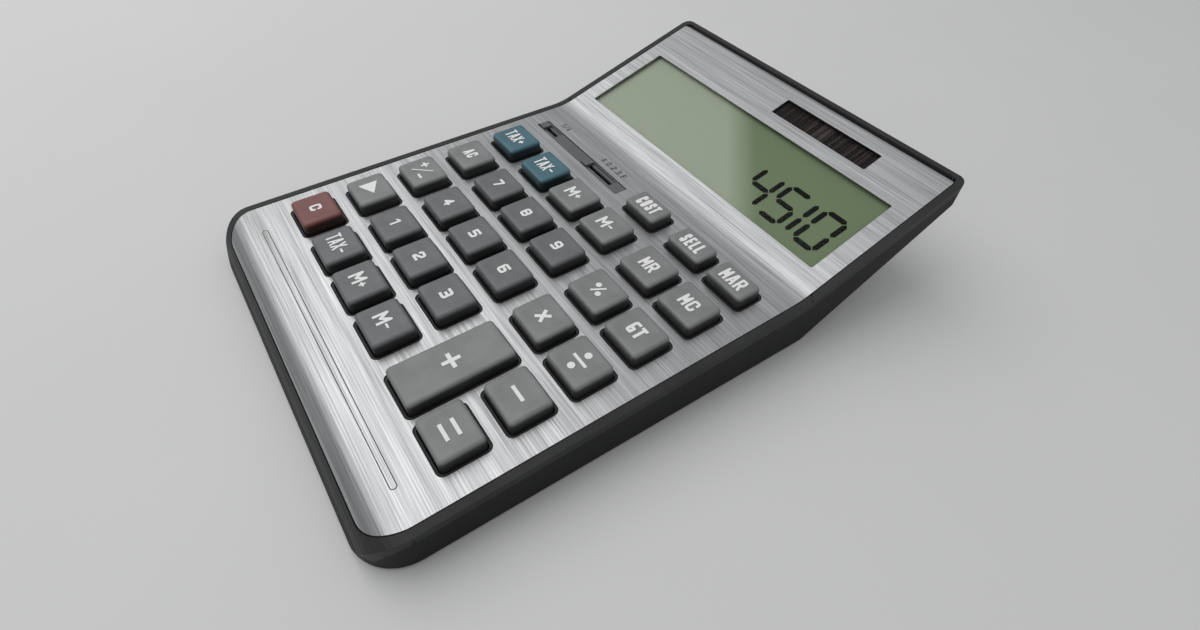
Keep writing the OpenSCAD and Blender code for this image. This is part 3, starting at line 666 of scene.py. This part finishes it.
def build_plate(edge=0.09):
    mesh = flat_sheet([plate_outline()] + plate_holes(), PLATE_T, edge)
    bm = bmesh.new()
    bm.from_mesh(mesh)
    bmesh.ops.remove_doubles(bm, verts=bm.verts, dist=0.0005)
    for v in bend_cuts():
        geometry = bm.verts[:] + bm.edges[:] + bm.faces[:]
        bmesh.ops.bisect_plane(bm, geom=geometry, dist=1e-6, plane_co=(0, v, 0), plane_no=(0, 1, 0))
    for vert in bm.verts:
        vert.co = Vector(flat_to_keypad(vert.co.x, vert.co.y, vert.co.z - PLATE_T / 2)) * MM
    bmesh.ops.recalc_face_normals(bm, faces=bm.faces)
    bm.to_mesh(mesh)
    bm.free()
    mesh.materials.clear()
    mesh.materials.append(PLATE)
    for poly in mesh.polygons:
        poly.use_smooth = True
        poly.material_index = 0
    mesh.set_sharp_from_angle(angle=math.radians(40))
    obj = bpy.data.objects.new("brushed_face_plate", mesh)
    bpy.context.scene.collection.objects.link(obj)
    obj.matrix_world = KEYPAD
    obj.modifiers.new("normals", "WEIGHTED_NORMAL").keep_sharp = True
    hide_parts("face_plate")
    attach(obj, "case")


build_plate()


# ---- printed marks, and painted shade for an engraved groove ----
def decal(name, outlines, material, matrix, lift):
    """Thin printed marks, or the painted shade of engraved ones, lying on a face."""
    points, faces = outlines
    obj = make_object(name, layered(points, faces, lift), faces, [material], matrix)
    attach(obj, "case")


PRINT_LIFT = 0.012
GROOVE_PLACE = (1.1, -112.2)
GROOVE_OUTER, GROOVE_INNER = rounded(98.7, 1.8, 0.85), rounded(98.2, 1.3, 0.6)
# painted shade: the front groove's edges drawn as a flat dark ring on the plate
decal("front_groove_shade", ring(shifted(GROOVE_OUTER, *GROOVE_PLACE), shifted(GROOVE_INNER, *GROOVE_PLACE)),
      DARK_INK_AND_SHADE, KEYPAD, PRINT_LIFT)


def small_text(text, width, x, y=-7.8, height=2.2, pen=0.3):
    points, faces = glyphs(text, height, width, pen)
    return shifted(points, x, y), faces


decal("switch_marks", joined([small_text("5/4", 4.2, -46.5), small_text("A 0 2 3 F", 12.5, -17.2)]),
      DARK_INK_AND_SHADE, KEYPAD, PRINT_LIFT)


# ---- display: film under the window, and its figures ----
SEGMENTS = {
    "a": ((0, 2), (1, 2)), "b": ((1, 2), (1, 1)), "c": ((1, 1), (1, 0)), "d": ((0, 0), (1, 0)),
    "e": ((0, 1), (0, 0)), "f": ((0, 2), (0, 1)), "g": ((0, 1), (1, 1)),
}
FIGURES = {"4": "fgbc", "5": "afgcd", "1": "bc", "0": "abcdef"}


def figure(digit, x, s=21.5, w=7.4, h=13.6, half=0.9, gap=0.22, slant=0.03):
    """One seven-segment figure centred at (x, s) on the display, half being half a segment's width."""
    parts = []
    for seg in FIGURES[digit]:
        (x0, y0), (x1, y1) = SEGMENTS[seg]
        p = Vector((x + (x0 - 0.5) * w, s + (y0 - 1) * h / 2))
        q = Vector((x + (x1 - 0.5) * w, s + (y1 - 1) * h / 2))
        d = (q - p).normalized()
        side = Vector((-d.y, d.x))
        p, q = p + d * gap, q - d * gap
        outline = [p, p + half * (d - side), q + half * (-d - side),
                   q, q + half * (-d + side), p + half * (d + side)]
        parts.append([(v.x + (v.y - s) * slant, v.y) for v in outline])
    return shapes(*parts)


# the film reaches past the opening all round and lies just under the window
FILM_MARGIN, FILM_LIFT = 0.95, -1.598
FIGURE_LIFT = FILM_LIFT + 0.005
READING = (("4", 20.8), ("5", 31.4), ("1", 34.9), ("0", 45.6))
decal("lcd_film", shapes(bar(LCD[0], LCD[1], LCD[2] + 2 * FILM_MARGIN, LCD[3] + 2 * FILM_MARGIN)),
      FINISH["lcd_glass"], DISPLAY, FILM_LIFT)
decal("lcd_figures", joined([figure(digit, x) for digit, x in READING]), SEGMENT, DISPLAY, FIGURE_LIFT)


# ---- setting ----
def lay_floor(size=6, drop=0.02):
    bpy.ops.mesh.primitive_plane_add(size=size, location=(0, 0, -drop * MM))
    floor = bpy.context.object
    floor.name = "floor"
    floor.data.materials.append(floor_material())


def studio_sky(strength=0.62):
    """Soft light from all round, darker towards the horizon."""
    world = bpy.data.worlds.new("studio")
    bpy.context.scene.world = world
    world.use_nodes = True
    tree = world.node_tree
    direction = add(tree, "ShaderNodeTexCoord")
    upward = add(tree, "ShaderNodeSeparateXYZ")
    tree.links.new(direction.outputs["Generated"], upward.inputs[0])
    height = ramp(tree, upward.outputs["Z"], 0, 1, 0.05, 0.5)
    sky = mix_colour(tree, height, (0.3, 0.305, 0.315), (0.92, 0.93, 0.95))
    background = tree.nodes["Background"]
    background.inputs["Strength"].default_value = strength
    tree.links.new(sky, background.inputs["Color"])


def overhead_panel(place, size, power):
    """Large soft panel that faces straight down."""
    light = bpy.data.lights.new("overhead_panel", "AREA")
    light.shape = "RECTANGLE"
    light.size, light.size_y = size
    light.energy = power
    obj = bpy.data.objects.new("overhead_panel", light)
    bpy.context.scene.collection.objects.link(obj)
    obj.location = place


def place_camera(eye, target, roll, lens):
    """Camera with its eye and target in mm in the keypad's frame, turned by roll about its own axis."""
    camera = bpy.data.objects.new("camera", bpy.data.cameras.new("camera"))
    bpy.context.scene.collection.objects.link(camera)
    camera.data.sensor_width = 36
    camera.data.lens = lens
    camera.data.clip_start = 0.005
    turn = (Vector(target) - Vector(eye)).to_track_quat("-Z", "Y").to_matrix().to_4x4()
    roll_turn = Matrix.Rotation(math.radians(roll), 4, "Z")
    camera.matrix_world = KEYPAD @ Matrix.Translation(Vector(eye) * MM) @ turn @ roll_turn
    bpy.context.scene.camera = camera


lay_floor()
studio_sky()
overhead_panel(place=(-0.85, -0.4, 1.0), size=(1.7, 1.4), power=9.6)
place_camera(eye=(123.01, -112.15, 123.78), target=(33.96, -48.5, 0), roll=1.47, lens=18.8)
bpy.context.scene.view_settings.view_transform = "Standard"
